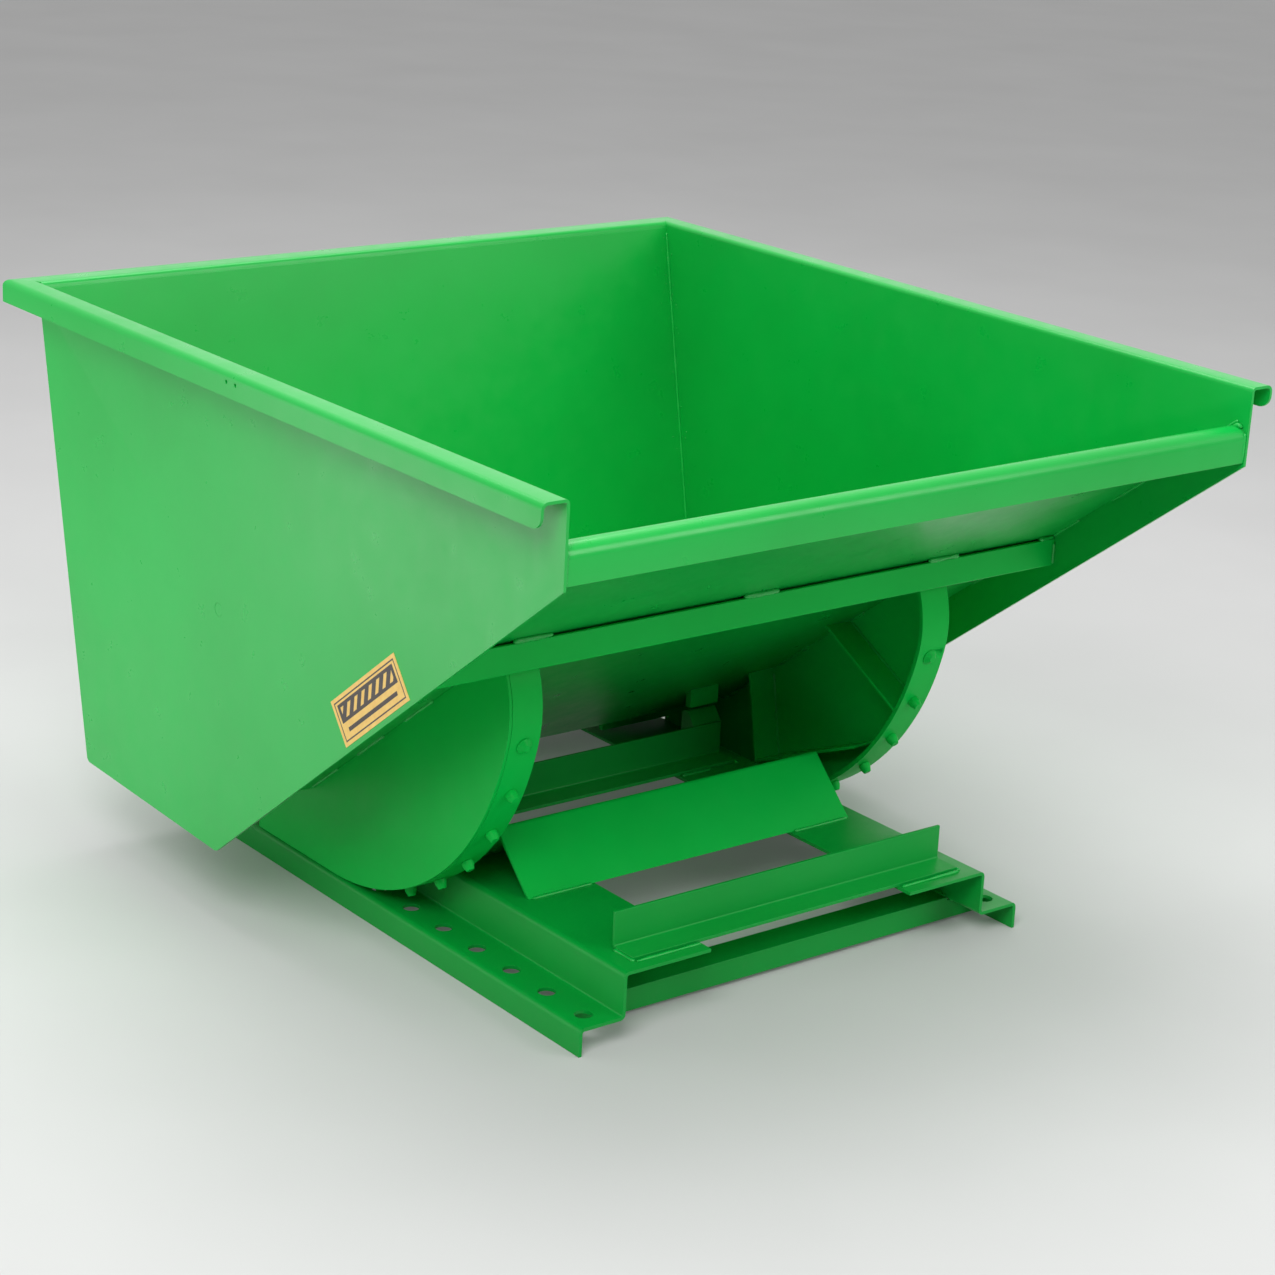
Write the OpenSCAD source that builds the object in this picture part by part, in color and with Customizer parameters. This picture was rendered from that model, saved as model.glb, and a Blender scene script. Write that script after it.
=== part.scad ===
// Self-dumping forklift hopper: an open steel hopper with a sloped chute that
// rolls forward on two rockers over a pair of hat-section base rails.
// +X runs across the width, the dump lip faces -Y, +Z is up, and the rails
// stand on z = 0. Lengths are millimetres.

/* [Base rails] */
// Length of the base rails
rail_len = 1270; // [1200:5:1300]
// Half distance between the outer faces of the rail lips
rail_out = 492; // [488:1:500]
// Half distance between the outer faces of the risers
riser_out = 405; // [400:1:408]
// Half distance between the inner edges of the top flanges
top_in = 224; // [200:1:240]
// Height of the holed flange above the ground
flange_z = 50; // [46:1:56]
// Height of the riser, which is also the outside height of a fork pocket
riser_h = 79; // [74:1:84]
// Thickness of the rail sheet
rail_t = 6; // [5:0.5:7]
// Radius of the rocker pin holes in the holed flange
pin_hole_r = 15.5; // [14.5:0.5:17]

/* [Base cross members] */
// Half length of the upper cross angles and of the ridge
cross_half = 365; // [340:1:380]
// Width of the horizontal leg of the upper cross angles
angle_w = 58; // [50:1:62]
// Height of the vertical leg of the upper cross angles
angle_h = 68; // [60:1:70]
// Thickness of the angles
angle_t = 6.3; // [5:0.1:7]
// Distance of the front angle's upright face from the rail fronts
front_angle_y = 82; // [78:1:90]
// Distance of the rear angle's upright face from the rail fronts
rear_angle_y = 706; // [700:1:708]
// Distance of the ridge's front edge from the rail fronts
ridge_y = 323; // [318:1:330]
// Height of the ridge above the rails
ridge_h = 100; // [80:1:104]

/* [Rockers] */
// Radius of the rolling face of the rockers
rock_r = 537; // [537:1:537]
// Distance between neighbouring rocker pins along the rolling face
pin_pitch = 101.6; // [101.6:0.1:101.6]
// Number of holes in each rail that the rocker pins drop into
pin_n = 8; // [8:1:8]
// Distance of the first rail hole from the rail front
first_hole = 43.3; // [43:0.1:45]
// Thickness of the curved strip
strip_t = 8; // [6:1:10]
// Width of the curved strip
strip_w = 60; // [56:1:62]
// Thickness of the flat rocker plates
rocker_t = 6; // [5:1:6]
// Height that the rocker pins stand out of the strip
pin_h = 17; // [15:1:18]

/* [Hopper] */
// Half width over the outer faces of the side plates
side_out = 725.5; // [720:0.5:730]
// Height of the hopper's top edge
top_z = 1028.5; // [1020:0.5:1040]
// Thickness of the side plates and the rims
side_t = 5; // [4:0.5:6]
// Thickness of the back plate
back_t = 7; // [5:0.5:8]
// Thickness of the chute and floor sheet
floor_t = 5; // [5:0.5:6]
// Height of the underside of the hopper floor
floor_z = 183; // [181:1:186]
// Slope of the chute, as rise over run
chute_slope = 0.7505; // [0.7485:0.001:0.7525]
// Width that the rims stand out from the plates
rim_w = 45.5; // [42:0.5:48]
// Height of the down-turned edge of the rims
rim_h = 42; // [36:1:46]
// Height of the face of the rolled dump lip's lower edge
lip_bottom = 895; // [890:1:900]

/* [Latch] */
// Diameter of the latch lever's pivot pin
latch_pin_d = 16; // [16:1:16]
// Angle that the lever is leaned back from its latched position
latch_open = 10; // [10:1:10]

/* [Hidden] */

green = [0.0, 0.62, 0.24];
dark_green = [0.0, 0.5, 0.19];

// The hopper rim reaches from y = -219 to y = 1455 behind the rail fronts, and
// the origin is under the middle of that length.
y_mid = 618;
gap = 0.3;                       // rolling clearance between strip and flange
rail_top = flange_z + riser_h;   // 129
hole_x = (rail_out + riser_out)/2 + 4.5;
roll_y = first_hole + (pin_n - 1)*pin_pitch;    // contact line at rest
roll_z = flange_z + rock_r;                     // height of the roll centre
pin_deg = pin_pitch/rock_r*180/PI;
strip_r = rock_r - gap;
rocker_out = rail_out - 3;                      // outer face of rocker plate
strip_x1 = rocker_out - rocker_t;               // strip's outer edge
strip_x0 = strip_x1 - strip_w;
side_in = side_out - side_t;
bend_y = 838;                                   // chute meets floor
back_y0 = 1236;  back_z0 = 153.5;               // rear lower corner of side plates
back_y1 = 1405;                                 // rear upper corner
back_slope = (back_y1 - back_y0)/(top_z - back_z0);
lip_y = -215.5;                                 // front face of the dump lip
front_y = -219;
cross_y = 205;  cross_z = 598;                  // front lower corner of chute angle

function chute_under(y) = floor_z + (bend_y - y)*chute_slope;
function back_at(z) = back_y0 + (z - back_z0)*back_slope;
function unit(v) = v/norm(v);
function lft(v) = [-v[1], v[0]];
function turned(v, a) = [v[0]*cos(a) - v[1]*sin(a), v[0]*sin(a) + v[1]*cos(a)];
// Rounded corner of a bent sheet's middle line: points with their normals
function corner(a, b, c, r, n) =
  let(u = unit(b - a), v = unit(c - b), t = atan2(u[0]*v[1] - u[1]*v[0], u*v),
      s = sign(t), p = b - u*r*tan(abs(t)/2), m = p + lft(u)*r*s)
  [for (i = [0:n]) let(q = turned(lft(u), t*i/n)) [m - q*r*s, q]];
function mid_line(P, R, n) = concat([[P[0], lft(unit(P[1] - P[0]))]],
  [for (i = [1:len(P) - 2]) each corner(P[i-1], P[i], P[i+1], R[i-1], n)],
  [[P[len(P)-1], lft(unit(P[len(P)-1] - P[len(P)-2]))]]);
// Outline of a sheet of thickness t bent along the line P with bend radii R
function sheet(P, R, t, n = 5) = let(L = mid_line(P, R, n))
  concat([for (q = L) q[0] + q[1]*t/2], [for (i = [len(L)-1:-1:0]) L[i][0] - L[i][1]*t/2]);

module place() { translate([0, -y_mid, 0]) children(); }
// Extrudes a (y, z) outline along X
module along_x(x0, x1) { translate([x0, 0, 0]) rotate([90, 0, 90]) linear_extrude(x1 - x0) children(); }
// Extrudes an (x, z) outline along Y
module along_y(y0, y1) { translate([0, y1, 0]) rotate([90, 0, 0]) linear_extrude(y1 - y0) children(); }
module rod_x(y, z, r, x0, x1, n = 64) { translate([x0, y, z]) rotate([0, 90, 0]) cylinder(r = r, h = x1 - x0, $fn = n); }
// Turns a piece built under the roll centre to the angle a in front of it
module at_roll(a) { translate([0, roll_y, roll_z]) rotate([-a, 0, 0]) children(); }

// ---- base ----
module rail() {
  h = rail_t/2;
  difference() {
    along_y(0, rail_len) polygon(sheet(
      [[rail_out - h, 0], [rail_out - h, flange_z - h], [riser_out - h, flange_z - h],
       [riser_out - h, rail_top - h], [top_in, rail_top - h]], [7, 7, 7], rail_t));
    for (j = [0:pin_n - 1]) translate([hole_x, first_hole + j*pin_pitch, flange_z - 30])
      cylinder(r = pin_hole_r, h = 60, $fn = 48);
  }
}
module rail_right() { color(green) place() rail(); }
module rail_left() { color(green) place() mirror([1, 0, 0]) rail(); }

module upper_angle(y) {
  h = angle_t/2;
  along_x(-cross_half, cross_half) polygon(sheet(
    [[y + angle_t - angle_w, rail_top + h], [y + h, rail_top + h], [y + h, rail_top + angle_h]],
    [7], angle_t));
}
module front_angle() { color(green) place() upper_angle(front_angle_y); }
module rear_angle() { color(green) place() upper_angle(rear_angle_y); }

module ridge_plate() {
  color(green) place() intersection() {
    along_x(-cross_half, cross_half) polygon(sheet(
      [[ridge_y - 5.7, rail_top - 10], [ridge_y + 103.8, rail_top + ridge_h - 3.5],
       [ridge_y + 213.3, rail_top - 10]], [6], 6));
    translate([-400, 0, rail_top]) cube([800, 1000, 200]);
  }
}

module pocket_angle(y, s) {
  // y is the outer face of the upright leg; s is +1 when the flat leg runs to the rear
  x1 = riser_out - rail_t;
  x2 = rail_out - rail_t - 4.5;
  along_x(-x1, x1) polygon([[y, 8], [y + s*6, 8], [y + s*6, flange_z - 6], [y + s*61, flange_z - 6],
    [y + s*61, flange_z], [y, flange_z]]);
  along_x(-x2, x2) polygon([[y, 8], [y + s*6, 8], [y + s*6, flange_z - rail_t], [y, flange_z - rail_t]]);
}
module front_pocket_angle() { color(green) place() pocket_angle(front_angle_y, 1); }
module rear_pocket_angle() { color(green) place() pocket_angle(rail_len - 8, -1); }

module stop_block(x0) {
  y = rear_angle_y + angle_t;
  along_x(x0, x0 + 68) polygon([[y, rail_top], [752, rail_top], [752, 214], [744, 221],
    [734, 221], [y + 2, 197], [y, 190]]);
}
module stop_block_right() { color(dark_green) place() stop_block(304); }
module stop_block_left() { color(dark_green) place() mirror([1, 0, 0]) stop_block(304); }

// ---- latch ----
latch_y = 1212;
latch_z = 92;
module latch_bracket() {
  color(dark_green) place() for (s = [-1, 1]) difference() {
    along_x(s > 0 ? 14 : -20, s > 0 ? 20 : -14) polygon([[1204, flange_z], [1260, flange_z],
      [1269, 94], [1272, 102], [1266, 114], [1226, 117], [1198, 117], [1190, 106], [1190, 84]]);
    rod_x(latch_y, latch_z, latch_pin_d/2, -30, 30);
    rod_x(1259.7, 104.7, 5, -30, 30, 32);
  }
}
module latch_pivot_pin() {
  color([0.55, 0.56, 0.58]) place() {
    rod_x(latch_y, latch_z, latch_pin_d/2, -24, 24);
    rod_x(latch_y, latch_z, 13, -28, -20, 48);
    rod_x(latch_y, latch_z, 12, 20, 23, 48);
    rod_x(1259.7, 104.7, 5, -20, 20, 32);
  }
}
// The lever is drawn in its latched position and leaned back at rest
module leaned() { translate([0, latch_y, latch_z]) rotate([-latch_open, 0, 0]) translate([0, -latch_y, -latch_z]) children(); }
grip_y = 1318;  grip_z = 330;
module latch_lever() {
  color(dark_green) place() leaned() difference() {
    union() {
      rod_x(latch_y, latch_z, 15, -13.5, 13.5);
      along_x(-6, 6) polygon([[1203, 101], [1222, 81], [1320, 194], [1326, 240], [1330, 330],
        [1306, 330], [1302, 246], [1270, 246], [1264, 240], [1264, 222.5], [1293, 222.5], [1293, 206]]);
      translate([0, grip_y, grip_z]) rotate([-11, 0, 0]) translate([0, 0, -3]) cylinder(r = 8, h = 118, $fn = 48);
    }
    rod_x(latch_y, latch_z, latch_pin_d/2 + 0.05, -30, 30);
  }
}
module latch_grip() {
  color([0.06, 0.06, 0.07]) place() leaned() translate([0, grip_y, grip_z]) rotate([-11, 0, 0]) translate([0, 0, 12])
    difference() {
      union() {
        cylinder(r = 14, h = 104, $fn = 48);
        cylinder(r = 18, h = 6, $fn = 48);
        for (i = [0:5]) translate([0, 0, 16 + i*14]) cylinder(r = 15.2, h = 8, $fn = 48);
      }
      translate([0, 0, -1]) cylinder(r = 8, h = 104, $fn = 48);
    }
}

// ---- hopper ----
module roll_centre_plugs() {
  color(green) place() for (s = [0, 1]) mirror([s, 0, 0]) rod_x(roll_y, roll_z, 12, side_in, side_out);
}

mitre_y = back_y1 - 2.2;
module mitre_region(side) {
  k = 1.03;
  linear_extrude(1200) polygon(side
    ? [[side_in, front_y - 10], [side_out + 80, front_y - 10], [side_out + 80, mitre_y + (side_t + 80)*k], [side_in, mitre_y]]
    : [[-side_in, 1300], [side_in, 1300], [side_in, mitre_y], [side_out + 80, mitre_y + (side_t + 80)*k],
       [side_out + 80, 1600], [-side_out - 80, 1600], [-side_out - 80, mitre_y + (side_t + 80)*k], [-side_in, mitre_y]]);
}
// The rim's line from its plate at (0, 0) outwards
function rim_line(t) = [[0, -30], [0, -t/2], [rim_w, -t/2], [rim_w, -rim_h]];
module side_plate() {
  difference() {
    union() {
      along_x(side_in, side_out) polygon([[front_y, top_z - 12], [front_y + 1, 889], [758, 143], [766, 140.5],
        [back_y0 - 6, back_z0 - 0.2], [back_y0 + 1, back_z0 + 5], [back_at(top_z - 12), top_z - 12]]);
      intersection() {
        along_y(front_y, 1470) translate([side_in + side_t/2, top_z]) polygon(sheet(rim_line(side_t), [6, 10], side_t));
        mitre_region(true);
      }
    }
    rod_x(roll_y, roll_z, 12.05, side_in - 10, side_out + 10);
    along_x(side_out + 20, side_out + rim_w + 10) difference() {
      translate([front_y - 8, top_z - rim_h - 8]) square([30, 30]);
      translate([front_y + 22, top_z - rim_h + 22]) circle(r = 22, $fn = 96);
    }
  }
}
module side_plate_right() { color(green) place() side_plate(); }
module side_plate_left() {
  color(green) place() difference() {
    mirror([1, 0, 0]) side_plate();
    for (y = [624.5, 653]) rod_x(y, 1012, 3.5, -side_out - rim_w - 20, -side_out - rim_w + 12, 32);
  }
}

module back_plate() {
  h = back_t/2;
  z0 = floor_z - 16;
  color(green) place() {
    along_x(-side_in, side_in) polygon([[back_at(z0) - back_t, z0], [back_at(z0), z0],
      [back_at(top_z - 12), top_z - 12], [back_at(top_z - 12) - back_t, top_z - 12]]);
    intersection() {
      along_x(-side_out - 70, side_out + 70) polygon(sheet(
        [[back_at(top_z - 14) - h, top_z - 14], [back_at(top_z) - h, top_z - 2.5], [1452.5, top_z - 2.5],
         [1452.5, top_z - rim_h]], [6, 10], 5));
      mitre_region(false);
    }
  }
}

module chute_floor_sheet() {
  a = atan(chute_slope);
  v = floor_t/2/cos(a);
  yl = lip_y + floor_t/2;
  yb = back_at(floor_z) - back_t;
  color(green) place() along_x(-side_in, side_in) polygon(sheet(
    [[yb, floor_z + floor_t/2], [bend_y + floor_t/2*tan(a/2), floor_z + floor_t/2], [yl, chute_under(yl) + v], [yl, lip_bottom]],
    [18, 20], floor_t, 9));
}

module chute_cross_angle() {
  y1 = bend_y - (cross_z - floor_z)/chute_slope;
  y2 = bend_y - (cross_z + 6 - floor_z)/chute_slope;
  color(green) place() along_x(-side_in, side_in) polygon([[cross_y + 2, cross_z], [y1, cross_z], [y2, cross_z + 6],
    [cross_y + 9, cross_z + 6], [cross_y + 6, cross_z + 9], [cross_y + 6, chute_under(cross_y + 6) - 4], [cross_y, chute_under(cross_y) - 9], [cross_y, cross_z + 2]]);
}

// Angle that stiffens the floor in front of the back plate
module rear_floor_angle() {
  color(dark_green) place() along_x(-640, 640)
    polygon([[1140, floor_z], [1226, floor_z], [1226, floor_z - 14], [1154, floor_z - 14], [1154, floor_z - 30], [1140, floor_z - 30]]);
}

// Outline of a rocker from its rolling edge of radius r up to the hopper
top_r = 200;
top_a = 76.8;
function ring(r, a) = [roll_y - r*sin(a), roll_z - r*cos(a)];
top_c = ring(strip_r - top_r, top_a);
function ring2(r, a) = [top_c[0] - r*sin(a), top_c[1] - r*cos(a)];
function top_end(r) = acos((top_c[1] - cross_z)/r);
module rocker_plate() {
  r = strip_r - 0.7;
  q = top_r - 0.7;
  ye = bend_y + (floor_z - (roll_z - r))/chute_slope;
  along_x(strip_x1, rocker_out) polygon(concat(
    [[ye - 3, roll_z - r]],
    [for (i = [0:56]) ring(r, i*top_a/56)],
    [for (i = [1:10]) ring2(q, top_a + (top_end(q) - top_a)*i/10)],
    [[bend_y - (cross_z - floor_z)/chute_slope, cross_z], [bend_y, floor_z], [ye - 3, floor_z]]));
}
module rocker_plate_right() { color(green) place() rocker_plate(); }
module rocker_plate_left() { color(green) place() mirror([1, 0, 0]) rocker_plate(); }

module rocker_strip() {
  difference() {
    union() {
      // rolling arc
      intersection() {
        difference() {
          rod_x(roll_y, roll_z, strip_r, strip_x0, strip_x1, 240);
          rod_x(roll_y, roll_z, strip_r - strip_t, strip_x0 - 1, strip_x1 + 1, 240);
        }
        along_x(strip_x0, strip_x1) polygon([[roll_y, roll_z], [roll_y, 0], [0, 0], ring(900, top_a)]);
      }
      // tighter upper end
      intersection() {
        difference() {
          rod_x(top_c[0], top_c[1], top_r, strip_x0, strip_x1, 160);
          rod_x(top_c[0], top_c[1], top_r - strip_t, strip_x0 - 1, strip_x1 + 1, 160);
        }
        along_x(strip_x0, strip_x1) polygon([top_c, ring2(400, top_a), [100, cross_z], [top_c[0], cross_z]]);
      }
      // flat that the hopper stands on
      along_x(strip_x0, strip_x1) polygon([[roll_y, roll_z - strip_r], [bend_y + (floor_z - 62)/chute_slope, roll_z - strip_r],
        [bend_y + (floor_z - 62)/chute_slope, roll_z - strip_r + strip_t], [roll_y, roll_z - strip_r + strip_t]]);
    }
    for (j = [0:pin_n - 1]) at_roll(j*pin_deg) translate([hole_x, 0, -strip_r - 5]) cylinder(r = 8, h = 20, $fn = 32);
  }
}
module rocker_strip_right() { color(green) place() rocker_strip(); }
module rocker_strip_left() { color(green) place() mirror([1, 0, 0]) rocker_strip(); }

// Tapered stud whose shank fills its hole in the strip
module stud() {
  translate([hole_x, 0, -strip_r]) {
    cylinder(r = 8, h = strip_t, $fn = 32);
    translate([0, 0, -7]) cylinder(r = 10.5, h = 7, $fn = 32);
    translate([0, 0, -pin_h]) cylinder(r1 = 7, r2 = 10.5, h = pin_h - 7, $fn = 32);
  }
}
module rocker_pins() { for (j = [0:pin_n - 2]) at_roll(j*pin_deg) stud(); }
module rocker_pins_right() { color(green) place() rocker_pins(); }
module rocker_pins_left() { color(green) place() mirror([1, 0, 0]) rocker_pins(); }
module rocker_end_bolts() {
  color(green) place() for (s = [0, 1]) mirror([s, 0, 0]) at_roll((pin_n - 1)*pin_deg) translate([hole_x, 0, -strip_r]) {
    cylinder(r = 8, h = strip_t, $fn = 32);
    translate([0, 0, -2]) cylinder(r = 15, h = 2, $fn = 48);
    translate([0, 0, -9]) cylinder(r1 = 6, r2 = 14, h = 7, $fn = 48);
  }
}

chute_d = (roll_z - chute_under(roll_y))*cos(atan(chute_slope));
function chute_ring(a) = chute_d/cos(a - atan(chute_slope));
module radial_gusset(a) {
  // flat plate along a radius, from the chute to the strip, cut to both
  r0 = strip_r - strip_t;
  intersection() {
    at_roll(a) translate([strip_x0, -3, -r0]) cube([strip_w, 6, 420]);
    along_x(strip_x0, strip_x1) polygon([[0, chute_under(0)], [bend_y - 2, chute_under(bend_y - 2)], [bend_y - 2, 0], [0, 0]]);
    rod_x(roll_y, roll_z, r0, strip_x0, strip_x1, 240);
  }
}
module upper_gusset_right() { color(green) place() radial_gusset(62.4); }
module upper_gusset_left() { color(green) place() mirror([1, 0, 0]) radial_gusset(62.4); }
module lower_gusset_right() { color(green) place() radial_gusset(10.9); }
module lower_gusset_left() { color(green) place() mirror([1, 0, 0]) radial_gusset(10.9); }

// Flat brace from the front of the strip back to the lower gusset
module rocker_brace() {
  p = ring(480, 10.9) - [3.1, 0];
  d = unit([392, 231] - p);
  n = lft(d);
  along_x(strip_x0, strip_x1) polygon([p, p + d*300, p + d*303 - n*3, p + d*300 - n*6, p - n*6 + d*1.5]);
}
module rocker_brace_right() { color(green) place() rocker_brace(); }
module rocker_brace_left() { color(green) place() mirror([1, 0, 0]) rocker_brace(); }

module stop_pad() {
  along_x(304, 372) polygon([[726, chute_under(726)], [742, chute_under(742)], [742, 229], [728, 229], [726, 231]]);
}
module stop_pad_right() { color(dark_green) place() stop_pad(); }
module stop_pad_left() { color(dark_green) place() mirror([1, 0, 0]) stop_pad(); }

// Heel bar under the floor, just over the rail's top flange and down to the strip beside it
module heel_bar() {
  along_x(243, strip_x1) polygon([[922, rail_top + 3], [934, rail_top + 3], [934, floor_z], [922, floor_z]]);
  along_x(riser_out + 5, strip_x1) polygon([[922, flange_z + gap + strip_t], [934, flange_z + gap + strip_t], [934, floor_z - 5], [922, floor_z - 5]]);
}
module heel_bar_right() { color(dark_green) place() heel_bar(); }
module heel_bar_left() { color(dark_green) place() mirror([1, 0, 0]) heel_bar(); }

striker_y = 1275;
striker_z = 205;
module striker_lugs() {
  color(dark_green) place() for (s = [-1, 1]) difference() {
    along_x(s > 0 ? 22 : -30, s > 0 ? 30 : -22) polygon([[back_at(186), 186], [1281, 190], [1290, 198], [1290, 212], [1281, 220], [back_at(232), 232]]);
    rod_x(striker_y, striker_z, 10, -40, 40);
  }
}
module striker_bar() { color(dark_green) place() rod_x(striker_y, striker_z, 10, -30, 30); }

// Thin label plate on the left side, parallel to the chute
module hazard_label() {
  color([0.96, 0.80, 0.39]) place() translate([-side_out - 0.8, 280, 570]) rotate([90, 0, 90]) rotate(-37.5)
    linear_extrude(0.8) translate([-113, -40]) square([226, 80]);
}

rail_left();
rail_right();
front_angle();
rear_angle();
ridge_plate();
front_pocket_angle();
rear_pocket_angle();
stop_block_left();
stop_block_right();
latch_bracket();
latch_pivot_pin();
latch_lever();
latch_grip();
roll_centre_plugs();
side_plate_left();
side_plate_right();
back_plate();
chute_floor_sheet();
chute_cross_angle();
rear_floor_angle();
rocker_plate_left();
rocker_plate_right();
rocker_strip_left();
rocker_strip_right();
rocker_pins_left();
rocker_pins_right();
rocker_end_bolts();
upper_gusset_left();
upper_gusset_right();
lower_gusset_left();
lower_gusset_right();
rocker_brace_left();
rocker_brace_right();
stop_pad_left();
stop_pad_right();
heel_bar_left();
heel_bar_right();
striker_lugs();
striker_bar();
hazard_label();
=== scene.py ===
import bpy
import math
import random
from mathutils import Matrix, Vector


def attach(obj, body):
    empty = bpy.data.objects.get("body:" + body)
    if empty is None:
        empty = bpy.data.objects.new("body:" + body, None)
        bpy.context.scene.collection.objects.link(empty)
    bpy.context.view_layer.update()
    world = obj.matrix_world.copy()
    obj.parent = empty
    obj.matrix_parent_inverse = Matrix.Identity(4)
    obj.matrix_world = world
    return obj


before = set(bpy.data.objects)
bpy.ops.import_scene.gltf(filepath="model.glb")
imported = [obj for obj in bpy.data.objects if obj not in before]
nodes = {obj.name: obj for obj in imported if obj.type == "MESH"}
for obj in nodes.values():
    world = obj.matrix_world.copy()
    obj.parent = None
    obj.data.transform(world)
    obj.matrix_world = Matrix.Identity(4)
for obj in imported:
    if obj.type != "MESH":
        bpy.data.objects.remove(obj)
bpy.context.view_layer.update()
scene = bpy.context.scene
random.seed(7)

# ---------------------------------------------------------------- numbers
# The same plan sizes as the CAD source, in millimetres behind the rail fronts.
Y_MID = 618.0
SLOPE = 0.7505
FLOOR_Z = 183.0
BEND_Y = 838.0
ROLL_Y, ROLL_Z, ROLL_R = 754.5, 587.0, 536.7
SIDE_IN = 720.5
BACK_T = 7.0


def P(x, y, z):
    return Vector((x, y - Y_MID, z)) / 1000.0


def chute_under(y):
    return FLOOR_Z + (BEND_Y - y) * SLOPE


def chute_top(y):
    return chute_under(y) + 6.25


def back_at(z):
    return 1236.0 + (z - 153.5) * 169.0 / 875.0


def ring(r, a):
    a = math.radians(a)
    return ROLL_Y - r * math.sin(a), ROLL_Z - r * math.cos(a)


# ---------------------------------------------------------------- materials
def new_material(name):
    m = bpy.data.materials.new(name)
    m.use_nodes = True
    nt = m.node_tree
    nt.nodes.clear()
    out = nt.nodes.new("ShaderNodeOutputMaterial")
    bsdf = nt.nodes.new("ShaderNodeBsdfPrincipled")
    nt.links.new(bsdf.outputs[0], out.inputs[0])
    return m, nt, bsdf


def node(nt, kind, **kw):
    n = nt.nodes.new(kind)
    for k, v in kw.items():
        if k.startswith("in_"):
            n.inputs[k[3:].replace("_", " ")].default_value = v
        else:
            setattr(n, k, v)
    return n


def noise(nt, vec, scale, detail=3.0, rough=0.5):
    n = node(nt, "ShaderNodeTexNoise")
    n.inputs["Scale"].default_value = scale
    n.inputs["Detail"].default_value = detail
    n.inputs["Roughness"].default_value = rough
    nt.links.new(vec, n.inputs["Vector"])
    return n.outputs["Fac"]


def remap(nt, val, a, b, c, d):
    n = node(nt, "ShaderNodeMapRange")
    n.inputs["From Min"].default_value = a
    n.inputs["From Max"].default_value = b
    n.inputs["To Min"].default_value = c
    n.inputs["To Max"].default_value = d
    nt.links.new(val, n.inputs["Value"])
    return n.outputs["Result"]


def math_node(nt, op, a, b=None, clamp=False):
    n = node(nt, "ShaderNodeMath", operation=op, use_clamp=clamp)
    for i, v in enumerate((a, b)):
        if v is None:
            continue
        if isinstance(v, (int, float)):
            n.inputs[i].default_value = v
        else:
            nt.links.new(v, n.inputs[i])
    return n.outputs[0]


def ramp(nt, val, stops):
    n = node(nt, "ShaderNodeValToRGB")
    el = n.color_ramp.elements
    while len(el) > 1:
        el.remove(el[-1])
    el[0].position, el[0].color = stops[0][0], (*stops[0][1], 1)
    for p, c in stops[1:]:
        e = el.new(p)
        e.color = (*c, 1)
    nt.links.new(val, n.inputs[0])
    return n.outputs["Color"]


def mix(nt, fac, a, b):
    n = node(nt, "ShaderNodeMix", data_type="RGBA")
    nt.links.new(fac, n.inputs["Factor"])
    for sock, v in ((n.inputs[6], a), (n.inputs[7], b)):
        if isinstance(v, tuple):
            sock.default_value = (*v, 1)
        else:
            nt.links.new(v, sock)
    return n.outputs[2]


def bump(nt, height, strength, distance, normal=None):
    n = node(nt, "ShaderNodeBump")
    n.inputs["Strength"].default_value = strength
    n.inputs["Distance"].default_value = distance
    nt.links.new(height, n.inputs["Height"])
    if normal is not None:
        nt.links.new(normal, n.inputs["Normal"])
    return n.outputs["Normal"]


def coords(nt):
    return nt.nodes.new("ShaderNodeTexCoord").outputs["Object"]


def stretched(nt, vec, scale, rot=(0, 0, 0)):
    n = node(nt, "ShaderNodeMapping")
    n.inputs["Scale"].default_value = scale
    n.inputs["Rotation"].default_value = rot
    nt.links.new(vec, n.inputs["Vector"])
    return n.outputs["Vector"]


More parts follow.
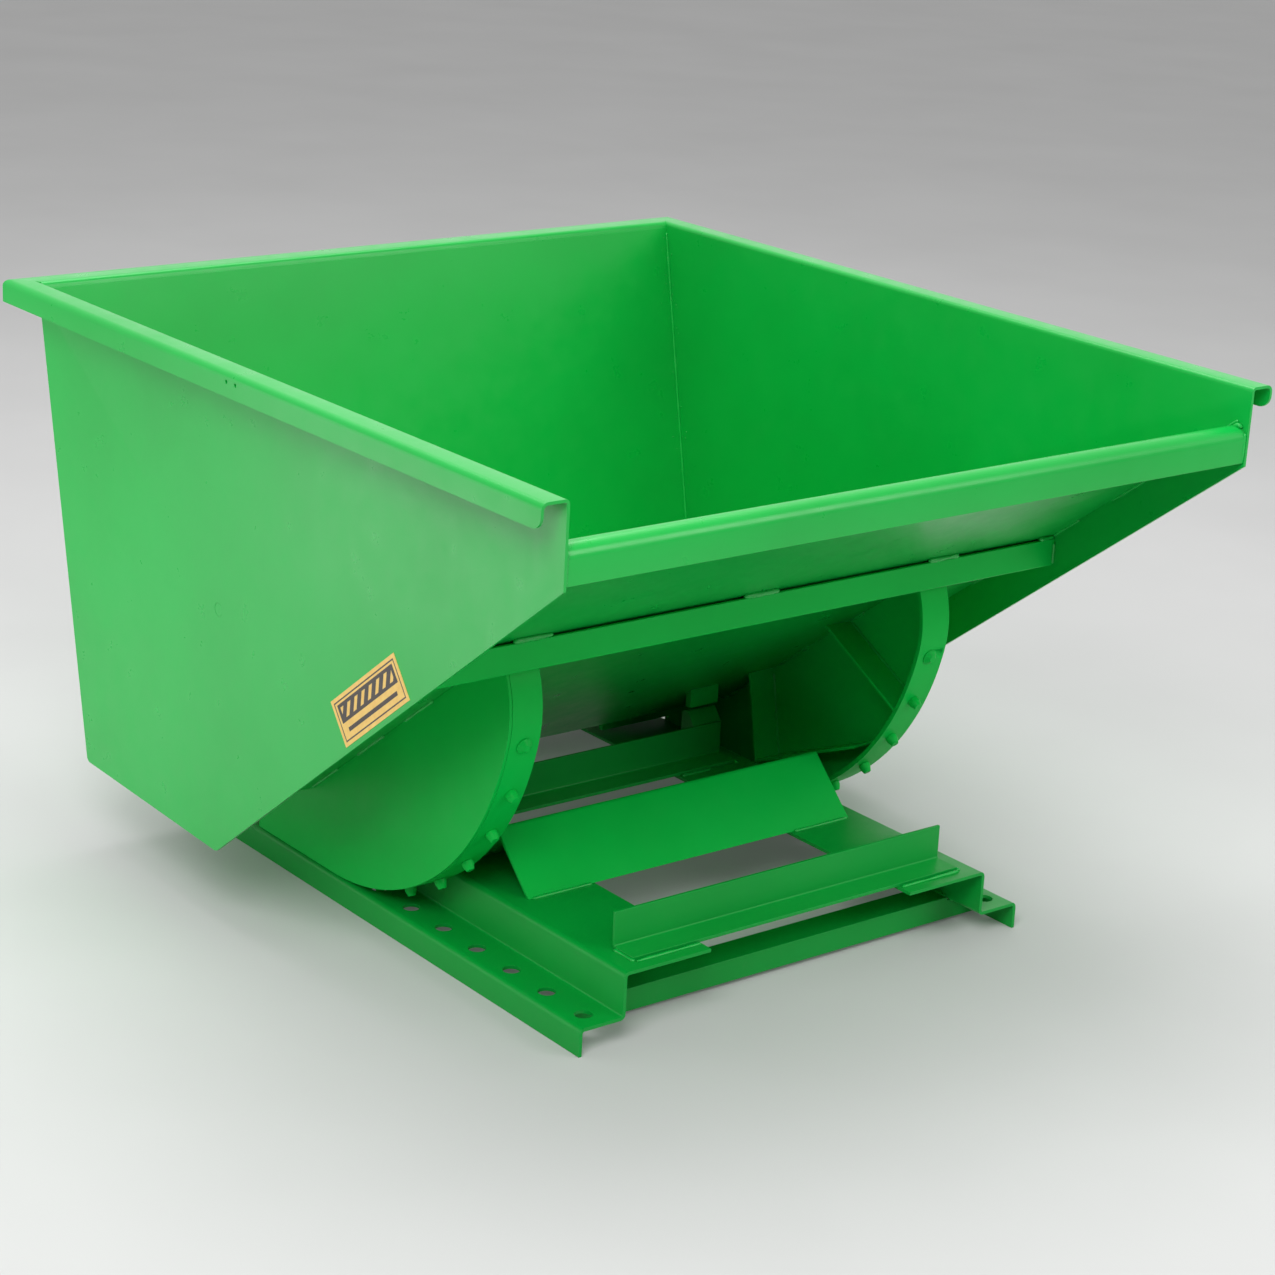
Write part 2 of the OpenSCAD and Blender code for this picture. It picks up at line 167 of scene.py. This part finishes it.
def green_paint(name, base, rough=0.30, wave=1.0, scuff=0.0, spec=0.45, coat=0.10):
    """Sprayed semi-gloss enamel: slight panel waviness, orange peel, dust and rubbed edges."""
    m, nt, b = new_material(name)
    co = coords(nt)
    r, g, bl = base
    big = noise(nt, co, 2.2, 4.0, 0.55)
    mid = noise(nt, co, 19.0, 5.0, 0.6)
    col = ramp(nt, big, [(0.30, (r * 0.86, g * 0.91, bl * 0.88)), (0.52, (r, g, bl)),
                         (0.72, (r * 1.25 + 0.001, g * 1.05, bl * 1.14))])
    # thin dust that sits lighter and flatter in places
    dusty = remap(nt, mid, 0.52, 0.80, 0.0, 0.09)
    col = mix(nt, dusty, col, (0.012, g * 1.08, 0.085))
    # fine drag scratches
    scr = noise(nt, stretched(nt, co, (30.0, 420.0, 300.0), (0.5, 0.2, 0.3)), 3.0, 2.0, 0.5)
    scr_m = remap(nt, scr, 0.70, 0.76, 0.0, 1.0)
    col = mix(nt, math_node(nt, "MULTIPLY", scr_m, 0.08), col, (0.03, g * 1.2, 0.12))
    # edges rubbed through to a paler, duller coat
    bev = node(nt, "ShaderNodeBevel", samples=4)
    bev.inputs["Radius"].default_value = 0.0022
    geo = node(nt, "ShaderNodeNewGeometry")
    dot = node(nt, "ShaderNodeVectorMath", operation="DOT_PRODUCT")
    nt.links.new(bev.outputs[0], dot.inputs[0])
    nt.links.new(geo.outputs["Normal"], dot.inputs[1])
    edge = remap(nt, dot.outputs["Value"], 0.985, 0.80, 0.0, 1.0)
    chip = remap(nt, noise(nt, co, 90.0, 4.0, 0.7), 0.42, 0.66, 0.15, 1.0)
    edge = math_node(nt, "MULTIPLY", edge, chip, True)
    col = mix(nt, math_node(nt, "MULTIPLY", edge, 0.24), col, (0.045, 0.50, 0.14))
    if scuff:
        # bare, burnished patches where steel rolls and rubs on steel
        spot = remap(nt, noise(nt, co, 34.0, 6.0, 0.72), 0.60, 0.68, 0.0, scuff)
        col = mix(nt, spot, col, (0.13, 0.20, 0.14))
    nt.links.new(col, b.inputs["Base Color"])
    rr = remap(nt, mid, 0.25, 0.80, rough - 0.05, rough + 0.12)
    rr = math_node(nt, "ADD", rr, math_node(nt, "MULTIPLY", edge, 0.12), True)
    nt.links.new(rr, b.inputs["Roughness"])
    b.inputs["IOR"].default_value = 1.52
    b.inputs["Specular IOR Level"].default_value = spec
    b.inputs["Coat Weight"].default_value = coat
    b.inputs["Coat Roughness"].default_value = 0.16
    n1 = bump(nt, noise(nt, co, 3.6, 1.0, 0.4), 0.16 * wave, 0.010)
    n2 = bump(nt, noise(nt, co, 620.0, 2.0, 0.5), 0.10, 0.0004, n1)
    n3 = bump(nt, scr_m, 0.08, 0.0002, n2)
    nt.links.new(n3, b.inputs["Normal"])
    return m


GREEN = (0.001, 0.435, 0.053)
paint = green_paint("green_enamel", GREEN)
# darker, less glossy copy of the same green enamel for the base: painted shade for the shadow under the bin, plus a
# little real scuffing
paint_base_shaded = green_paint("green_enamel_base_painted_shade", (0.001, 0.345, 0.042), 0.36, 0.8, 0.05, 0.26, 0.0)
# lighter copy of the same green enamel for the rocker parts: painted light, with real burnished scuff patches on top
paint_roll_lit = green_paint("green_enamel_rubbed_painted_light", (0.001, 0.53, 0.064), 0.40, 0.4, 0.06, 0.12, 0.0)
# lighter copy of the same green enamel for the parts under the bin: painted light against the shade beneath it
paint_under_lit = green_paint("green_enamel_under_painted_light", (0.001, 0.52, 0.063), 0.38, 0.8, 0.0, 0.12, 0.0)
paint_weld = green_paint("green_enamel_weld", (0.002, 0.46, 0.060), 0.30, 0.0)


def zinc():
    m, nt, b = new_material("zinc_plated_steel")
    co = coords(nt)
    tint = noise(nt, co, 55.0, 5.0, 0.6)
    nt.links.new(ramp(nt, tint, [(0.3, (0.40, 0.40, 0.38)), (0.7, (0.62, 0.62, 0.58))]), b.inputs["Base Color"])
    turn = noise(nt, stretched(nt, co, (900.0, 40.0, 40.0)), 1.0, 3.0, 0.6)
    nt.links.new(remap(nt, turn, 0.2, 0.8, 0.24, 0.46), b.inputs["Roughness"])
    b.inputs["Metallic"].default_value = 1.0
    nt.links.new(bump(nt, turn, 0.25, 0.0003), b.inputs["Normal"])
    return m


def rubber():
    m, nt, b = new_material("grip_rubber")
    co = coords(nt)
    n = noise(nt, co, 160.0, 4.0, 0.6)
    nt.links.new(ramp(nt, n, [(0.3, (0.012, 0.012, 0.013)), (0.75, (0.035, 0.035, 0.036))]), b.inputs["Base Color"])
    nt.links.new(remap(nt, n, 0.2, 0.8, 0.58, 0.78), b.inputs["Roughness"])
    nt.links.new(bump(nt, noise(nt, co, 900.0, 2.0, 0.5), 0.3, 0.0004), b.inputs["Normal"])
    return m


def label():
    """Amber film with a dark border, a dark panel of plain slanted bars and one plain bar below. No lettering."""
    m, nt, b = new_material("label_film")
    sep = node(nt, "ShaderNodeSeparateXYZ")
    co = coords(nt)
    nt.links.new(co, sep.inputs[0])
    a = math.radians(37.5)
    yy = math_node(nt, "ADD", sep.outputs["Y"], (Y_MID - 280.0) / 1000.0)
    zz = math_node(nt, "SUBTRACT", sep.outputs["Z"], 0.570)
    u = math_node(nt, "SUBTRACT", math_node(nt, "MULTIPLY", yy, math.cos(a)), math_node(nt, "MULTIPLY", zz, math.sin(a)))
    v = math_node(nt, "ADD", math_node(nt, "MULTIPLY", yy, math.sin(a)), math_node(nt, "MULTIPLY", zz, math.cos(a)))

    def inside(u0, u1, v0, v1):
        t = math_node(nt, "MULTIPLY", math_node(nt, "GREATER_THAN", u, u0), math_node(nt, "LESS_THAN", u, u1))
        s = math_node(nt, "MULTIPLY", math_node(nt, "GREATER_THAN", v, v0), math_node(nt, "LESS_THAN", v, v1))
        return math_node(nt, "MULTIPLY", t, s)

    frame_line = math_node(nt, "SUBTRACT", inside(-0.106, 0.106, -0.0335, 0.0335), inside(-0.1035, 0.1035, -0.031, 0.031))
    panel = inside(-0.098, 0.098, -0.004, 0.0275)
    slant = math_node(nt, "ADD", u, math_node(nt, "MULTIPLY", v, 0.9))
    bars = math_node(nt, "LESS_THAN", math_node(nt, "PINGPONG", slant, 0.013), 0.0055)
    bars = math_node(nt, "MULTIPLY", bars, inside(-0.090, 0.090, 0.002, 0.0215))
    strip = inside(-0.086, 0.086, -0.0215, -0.0145)
    dark = math_node(nt, "ADD", math_node(nt, "ADD", frame_line, math_node(nt, "SUBTRACT", panel, bars)), strip, True)
    n = noise(nt, co, 70.0, 5.0, 0.65)
    amber = ramp(nt, n, [(0.3, (0.80, 0.49, 0.105)), (0.75, (0.90, 0.62, 0.165))])
    ink = ramp(nt, n, [(0.3, (0.030, 0.022, 0.020)), (0.8, (0.065, 0.050, 0.045))])
    nt.links.new(mix(nt, dark, amber, ink), b.inputs["Base Color"])
    nt.links.new(remap(nt, n, 0.2, 0.8, 0.30, 0.46), b.inputs["Roughness"])
    nt.links.new(bump(nt, noise(nt, co, 240.0, 2.0, 0.5), 0.08, 0.0003), b.inputs["Normal"])
    return m


zinc_m, rubber_m, label_m = zinc(), rubber(), label()

base_nodes = ["rail_left", "rail_right", "front_angle", "rear_angle", "front_pocket_angle",
              "rear_pocket_angle", "stop_block_left", "stop_block_right", "latch_bracket"]
rolling = ["rocker_strip_left", "rocker_strip_right", "rocker_pins_left", "rocker_pins_right", "rocker_end_bolts"]
under = ["ridge_plate", "chute_cross_angle", "rocker_plate_left", "rocker_plate_right", "upper_gusset_left", "upper_gusset_right",
         "lower_gusset_left", "lower_gusset_right", "rocker_brace_left", "rocker_brace_right", "stop_pad_left", "stop_pad_right",
         "heel_bar_left", "heel_bar_right", "rear_floor_angle"]
special = {"latch_pivot_pin": zinc_m, "latch_grip": rubber_m, "hazard_label": label_m}
# one green paint throughout: the base gets the painted-shade copy, the rockers and underside parts the painted-light
# copies
for name, o in nodes.items():
    m = special.get(name) or (paint_base_shaded if name in base_nodes else paint_roll_lit if name in rolling else paint_under_lit if name in under else paint)
    o.data.materials.clear()
    o.data.materials.append(m)
    for p in o.data.polygons:
        p.material_index = 0


# ---------------------------------------------------------------- softened edges on the CAD nodes
def soften(o, width):
    if o.data.has_custom_normals:
        with bpy.context.temp_override(object=o, active_object=o, selected_objects=[o]):
            bpy.ops.mesh.customdata_custom_splitnormals_clear()
    o.data.polygons.foreach_set("use_smooth", [True] * len(o.data.polygons))
    w = o.modifiers.new("weld", "WELD")
    w.merge_threshold = 0.00002
    d = o.modifiers.new("flats", "DECIMATE")
    d.decimate_type = "DISSOLVE"
    d.angle_limit = math.radians(0.6)
    b = o.modifiers.new("edges", "BEVEL")
    b.width = width
    b.segments = 2
    b.limit_method = "ANGLE"
    b.angle_limit = math.radians(38)
    b.use_clamp_overlap = True
    b.harden_normals = True


for name, o in nodes.items():
    if name not in ("hazard_label",):
        soften(o, 0.0009)


# ---------------------------------------------------------------- weld beads
def bead_object(name, body, paths, material=None):
    """One mesh of rippled weld beads. Each path is (points in the row frame, radius in metres)."""
    verts, faces = [], []
    sides = 8
    for pts, r in paths:
        line = [Vector(p) for p in pts]
        total = sum((b - a).length for a, b in zip(line, line[1:]))
        if total < 1e-6:
            continue
        step = 0.0022
        n = max(4, int(total / step))
        samples, seg, done = [], 0, 0.0
        for i in range(n + 1):
            s = total * i / n
            while seg < len(line) - 2 and s > done + (line[seg + 1] - line[seg]).length:
                done += (line[seg + 1] - line[seg]).length
                seg += 1
            d = line[seg + 1] - line[seg]
            samples.append((line[seg] + d.normalized() * (s - done), d.normalized(), s))
        phase = random.uniform(0, 6.28)
        drift = random.uniform(0, 50)
        t0 = samples[0][1]
        ref = Vector((0, 0, 1)) if abs(t0.z) < 0.9 else Vector((1, 0, 0))
        start = len(verts)
        for p, t, s in samples:
            u = t.cross(ref).normalized()
            w = u.cross(t).normalized()
            ripple = 0.80 + 0.24 * abs(math.sin(s / 0.0056 * math.pi + phase))
            slow = 1.0 + 0.16 * math.sin(s * 61.0 + drift) + 0.10 * math.sin(s * 143.0 + 2 * drift)
            end = min(1.0, (min(s, total - s) + 0.0006) / (1.3 * r))
            rad = r * ripple * slow * math.sqrt(max(0.05, end * (2 - end)))
            off = t * (0.35 * r * math.sin(s / 0.0056 * math.pi * 2 + phase))
            for k in range(sides):
                a = 2 * math.pi * k / sides
                verts.append(p + (u * math.cos(a) + w * math.sin(a)) * rad + off * 0.3)
        m = len(samples)
        for i in range(m - 1):
            for k in range(sides):
                a, b2 = start + i * sides + k, start + i * sides + (k + 1) % sides
                faces.append((a, b2, b2 + sides, a + sides))
        faces.append(tuple(start + k for k in reversed(range(sides))))
        faces.append(tuple(start + (m - 1) * sides + k for k in range(sides)))
    me = bpy.data.meshes.new(name)
    me.from_pydata([tuple(v) for v in verts], [], faces)
    me.polygons.foreach_set("use_smooth", [True] * len(me.polygons))
    me.update()
    o = bpy.data.objects.new(name, me)
    scene.collection.objects.link(o)
    me.materials.append(material or paint_weld)
    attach(o, body)
    return o


def along(y0, y1, x, zf, n=8):
    return [P(x, y0 + (y1 - y0) * i / n, zf(y0 + (y1 - y0) * i / n)) for i in range(n + 1)]


def stitches(lo, hi, on, off):
    out, a = [], lo
    while a < hi - 8:
        out.append((a, min(hi, a + on)))
        a += on + off
    return out


# inside the bin: rear corners, rear floor seam, chute and floor to the side plates
inner, lower, seams = [], [], []
for s in (-1, 1):
    inner.append(([P(s * 719.0, back_at(z) - BACK_T - 1.2, z) for z in range(193, 1018, 11)], 0.0030))
    run = [P(s * 719.3, y, chute_top(y) + 0.8) for y in range(-196, 839, 22)] + [P(s * 719.3, y, 188.8) for y in range(846, 1236, 30)]
    inner.append((run, 0.0027))
    # outside: back plate seam
    seams.append(([P(s * 720.5, back_at(z) - 0.4, z) for z in range(172, 1010, 14)], 0.0024))
    # underside, chute to side plate
    for a, b in stitches(-185, 800, 92, 74):
        lower.append((along(a, b, s * 719.3, lambda y: chute_under(y) - 0.6), 0.0034))
    for a, b in stitches(850, 1140, 70, 60):
        lower.append(([P(s * 719.3, a, 182.4), P(s * 719.3, b, 182.4)], 0.0032))
inner.append(([P(x, back_at(189) - BACK_T - 1.0, 189.0) for x in range(-716, 717, 24)], 0.0027))
bead_object("bin_corner_welds", "hopper", inner)
bead_object("bin_back_seams", "hopper", seams)

# cross angle under the chute: stitched to the chute, and to the side plates at its ends
cz = chute_under(206)
for a, b in ((-718, -684), (-502, -424), (-22, 60), (405, 482), (682, 718)):
    lower.append(([P(x, 206.5, cz - 4.4) for x in range(a, b + 1, 6)], 0.0052))
for s in (-1, 1):
    lower.append(([P(s * 719.0, 204.4, z) for z in range(602, 650, 8)], 0.0030))
    lower.append(([P(s * 453 - 28, 244.6, 597.2), P(s * 453 + 28, 244.6, 597.2)], 0.0030))
    # lip ends
    seams_lip = [P(s * 718.6, -213.6, z) for z in range(899, 950, 6)]
    lower.append((seams_lip, 0.0034))
    lower.append(([P(s * 717.0, -207.0, 957.5), P(s * 716.0, -198.0, 959.5), P(s * 716.5, -190.0, 955.0)], 0.0042))
for a, b in stitches(-620, 620, 60, 110):
    lower.append(([P(a, 1139.4, 182.2), P(b, 1139.4, 182.2)], 0.0032))
for s in (-1, 1):
    for a, b in ((250, 310), (392, 470)):
        lower.append(([P(s * a, 921.4, 182.2), P(s * b, 921.4, 182.2)], 0.0032))
    lower.append(([P(s * x, 742.8, chute_under(742.8) - 0.8) for x in range(308, 369, 6)], 0.0028))
    for x in (21.4, 30.6):
        lower.append(([P(s * x, back_at(z) + 0.6, z) for z in range(188, 231, 6)], 0.0022))
bead_object("bin_underside_welds", "hopper", lower)

# rockers: to the chute, strip to plate, gussets and braces
rk = []
a_s = math.atan(SLOPE)
chute_d = (ROLL_Z - chute_under(ROLL_Y)) * math.cos(a_s)
for s in (-1, 1):
    for a, b in stitches(300, 830, 84, 62):
        rk.append((along(a, b, s * 489.6, lambda y: chute_under(y) - 0.8), 0.0032))
        rk.append((along(a, b, s * 482.4, lambda y: chute_under(y) - 0.8), 0.0034))
    for x in (489.6, 482.4):
        rk.append(([P(s * x, 850, 182.2), P(s * x, 912, 182.2)], 0.0032))
        rk.append(([P(s * x, 944, 182.2), P(s * x, 1004, 182.2)], 0.0032))
    for a in range(2, 70, 11):
        pts = []
        for i in range(9):
            y, z = ring(ROLL_R - 8.6, a + 5.4 * i / 8)
            pts.append(P(s * 482.3, y, z))
        rk.append((pts, 0.0034))
    for ang in (10.9, 62.4):
        ar = math.radians(ang)
        out_r = ROLL_R - 8.0
        in_r = chute_d / math.cos(ar - a_s)
        for side in (-1, 1):
            da = math.degrees(3.6 / out_r) * side
            y, z = ring(out_r - 0.8, ang + da)
            rk.append(([P(s * 425, y, z), P(s * 481, y, z)], 0.0032))
            pts = []
            for i in range(7):
                rr = in_r + 8 + (out_r - in_r - 16) * i / 6
                y, z = ring(rr, ang)
                n = (math.cos(ar) * 3.6 * side, -math.sin(ar) * 3.6 * side)
                pts.append(P(s * 482.2, y - n[0], z - n[1]))
            rk.append((pts, 0.0030))
bead_object("rocker_welds", "hopper", rk)

# base: cross angles, ridge, pocket angles, stop blocks, latch bracket
bs = []
for s in (-1, 1):
    for y0, y1 in ((26, 80), (650, 704)):
        bs.append(([P(s * 365.8, y, 130.0) for y in range(y0, y1 + 1, 6)], 0.0036))
    bs.append(([P(s * x, 24.0, 130.0) for x in range(228, 362, 7)], 0.0030))
    bs.append(([P(s * x, 648.2, 130.0) for x in range(228, 300, 7)], 0.0030))
    bs.append(([P(s * x, 89.2, 130.0) for x in range(240, 352, 7)], 0.0030))
    bs.append(([P(s * x, 321.2, 130.0) for x in range(232, 362, 7)], 0.0036))
    bs.append(([P(s * x, 532.0, 130.0) for x in range(232, 362, 7)], 0.0036))
    for y0, y1 in ((86, 140), (1205, 1258)):
        bs.append(([P(s * 397.8, y, 51.0) for y in range(y0, y1 + 1, 6)], 0.0034))
    bs.append(([P(s * x, 752.8, 130.0) for x in range(308, 369, 6)], 0.0030))
    bs.append(([P(s * 21.2, y, 51.0) for y in range(1208, 1257, 6)], 0.0028))
    for y in (82.0, 1262.0):
        bs.append(([P(s * x, y, 43.2) for x in range(406, 478, 6)], 0.0026))
bead_object("base_welds", "base", bs)

# loose spatter beside the rear inner corners
sp_v, sp_f = [], []
for s in (-1, 1):
    for i in range(110):
        z = random.uniform(200, 1010)
        off = abs(random.gauss(0, 9)) + 2.5
        on_side = random.random() < 0.4
        yb = back_at(z) - BACK_T
        c = P(s * 720.3, yb - off, z) if on_side else P(s * (719.5 - off), yb + 0.3, z)
        r = random.uniform(0.0007, 0.0019)
        n0 = len(sp_v)
        rows = 3
        for j in range(rows + 1):
            th = math.pi * j / rows
            for k in range(6):
                ph = 2 * math.pi * k / 6 + 0.4 * j
                sp_v.append(c + Vector((math.sin(th) * math.cos(ph), math.sin(th) * math.sin(ph), math.cos(th))) * r)
        for j in range(rows):
            for k in range(6):
                a, b = n0 + j * 6 + k, n0 + j * 6 + (k + 1) % 6
                sp_f.append((a, a + 6, b + 6, b))
sp = bpy.data.meshes.new("weld_spatter")
sp.from_pydata([tuple(v) for v in sp_v], [], sp_f)
sp.polygons.foreach_set("use_smooth", [True] * len(sp.polygons))
sp.materials.append(paint_weld)
spo = bpy.data.objects.new("weld_spatter", sp)
scene.collection.objects.link(spo)
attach(spo, "hopper")

# ---------------------------------------------------------------- floor
fm, nt, b = new_material("studio_floor")
n = noise(nt, coords(nt), 1.3, 3.0, 0.5)
nt.links.new(ramp(nt, n, [(0.3, (0.55, 0.55, 0.548)), (0.7, (0.58, 0.58, 0.578))]), b.inputs["Base Color"])
b.inputs["Roughness"].default_value = 0.9
b.inputs["Specular IOR Level"].default_value = 0.1
b.inputs["Emission Color"].default_value = (1, 1, 1, 1)
b.inputs["Emission Strength"].default_value = 0.06
fme = bpy.data.meshes.new("studio_floor")
S = 40.0
fme.from_pydata([(-S, -S, 0), (S, -S, 0), (S, S, 0), (-S, S, 0)], [], [(0, 1, 2, 3)])
fme.materials.append(fm)
floor = bpy.data.objects.new("studio_floor", fme)
scene.collection.objects.link(floor)
floor.location.z = -0.0005

# ---------------------------------------------------------------- light
world = bpy.data.worlds.new("studio")
scene.world = world
world.use_nodes = True
bg = world.node_tree.nodes["Background"]
bg.inputs[1].default_value = 1.0
wt = world.node_tree
# a soft dome, brighter towards the right and rear than towards the left and front
wdot = node(wt, "ShaderNodeVectorMath", operation="DOT_PRODUCT")
wt.links.new(wt.nodes.new("ShaderNodeTexCoord").outputs["Generated"], wdot.inputs[0])
wdot.inputs[1].default_value = (0.60, 0.75, 0.28)
wt.links.new(ramp(wt, remap(wt, wdot.outputs["Value"], -1.0, 1.0, 0.0, 1.0),
                  [(0.0, (0.08, 0.08, 0.08)), (0.45, (0.25, 0.25, 0.25)), (1.0, (0.95, 0.95, 0.95))]), bg.inputs[0])


def area(name, loc, target, size, energy, color=(1, 1, 1)):
    l = bpy.data.lights.new(name, "AREA")
    l.shape = "RECTANGLE"
    l.size, l.size_y = size
    l.energy = energy
    l.color = color
    o = bpy.data.objects.new(name, l)
    scene.collection.objects.link(o)
    o.location = loc
    o.rotation_mode = "QUATERNION"
    o.rotation_quaternion = (Vector(target) - Vector(loc)).to_track_quat("-Z", "Y")
    return o


area("key", (-3.6, -3.2, 4.6), (0, 0, 0.5), (3.0, 3.0), 225)
area("top", (0.4, 1.0, 5.2), (0, 0.2, 0.5), (4.0, 4.0), 165)
area("front", (2.6, -4.8, 3.2), (0, 0, 0.5), (3.0, 2.4), 85)
side = area("side_panel", (-1.75, 0.85, 0.70), (0.0, 0.85, 0.70), (1.5, 1.2), 7)
side.visible_camera = False

# ---------------------------------------------------------------- camera
cam_data = bpy.data.cameras.new("camera")
cam = bpy.data.objects.new("camera", cam_data)
scene.collection.objects.link(cam)
scene.camera = cam
right = Vector((0.791348351844746, -0.6095854049106363, 0.04661995444592271))
down = Vector((-0.157895288564309, -0.2774521448974236, -0.9476757806027402))
fwd = Vector((0.590624130798766, 0.7425805959030675, -0.3158119609933218))
rot = Matrix((right, -down, -fwd)).transposed().to_4x4()
K = 1.134
cam.matrix_world = Matrix.Translation(Vector((-2.796687 * K, -3.058343 * K - 0.618, 1.923213 * K))) @ rot
cam_data.sensor_fit = "HORIZONTAL"
cam_data.sensor_width = 36.0
cam_data.lens = 36.0 * 2988.914 / 1275.0
cam_data.clip_start, cam_data.clip_end = 0.1, 100.0
scene.view_settings.view_transform = "Standard"
scene.view_settings.look = "None"
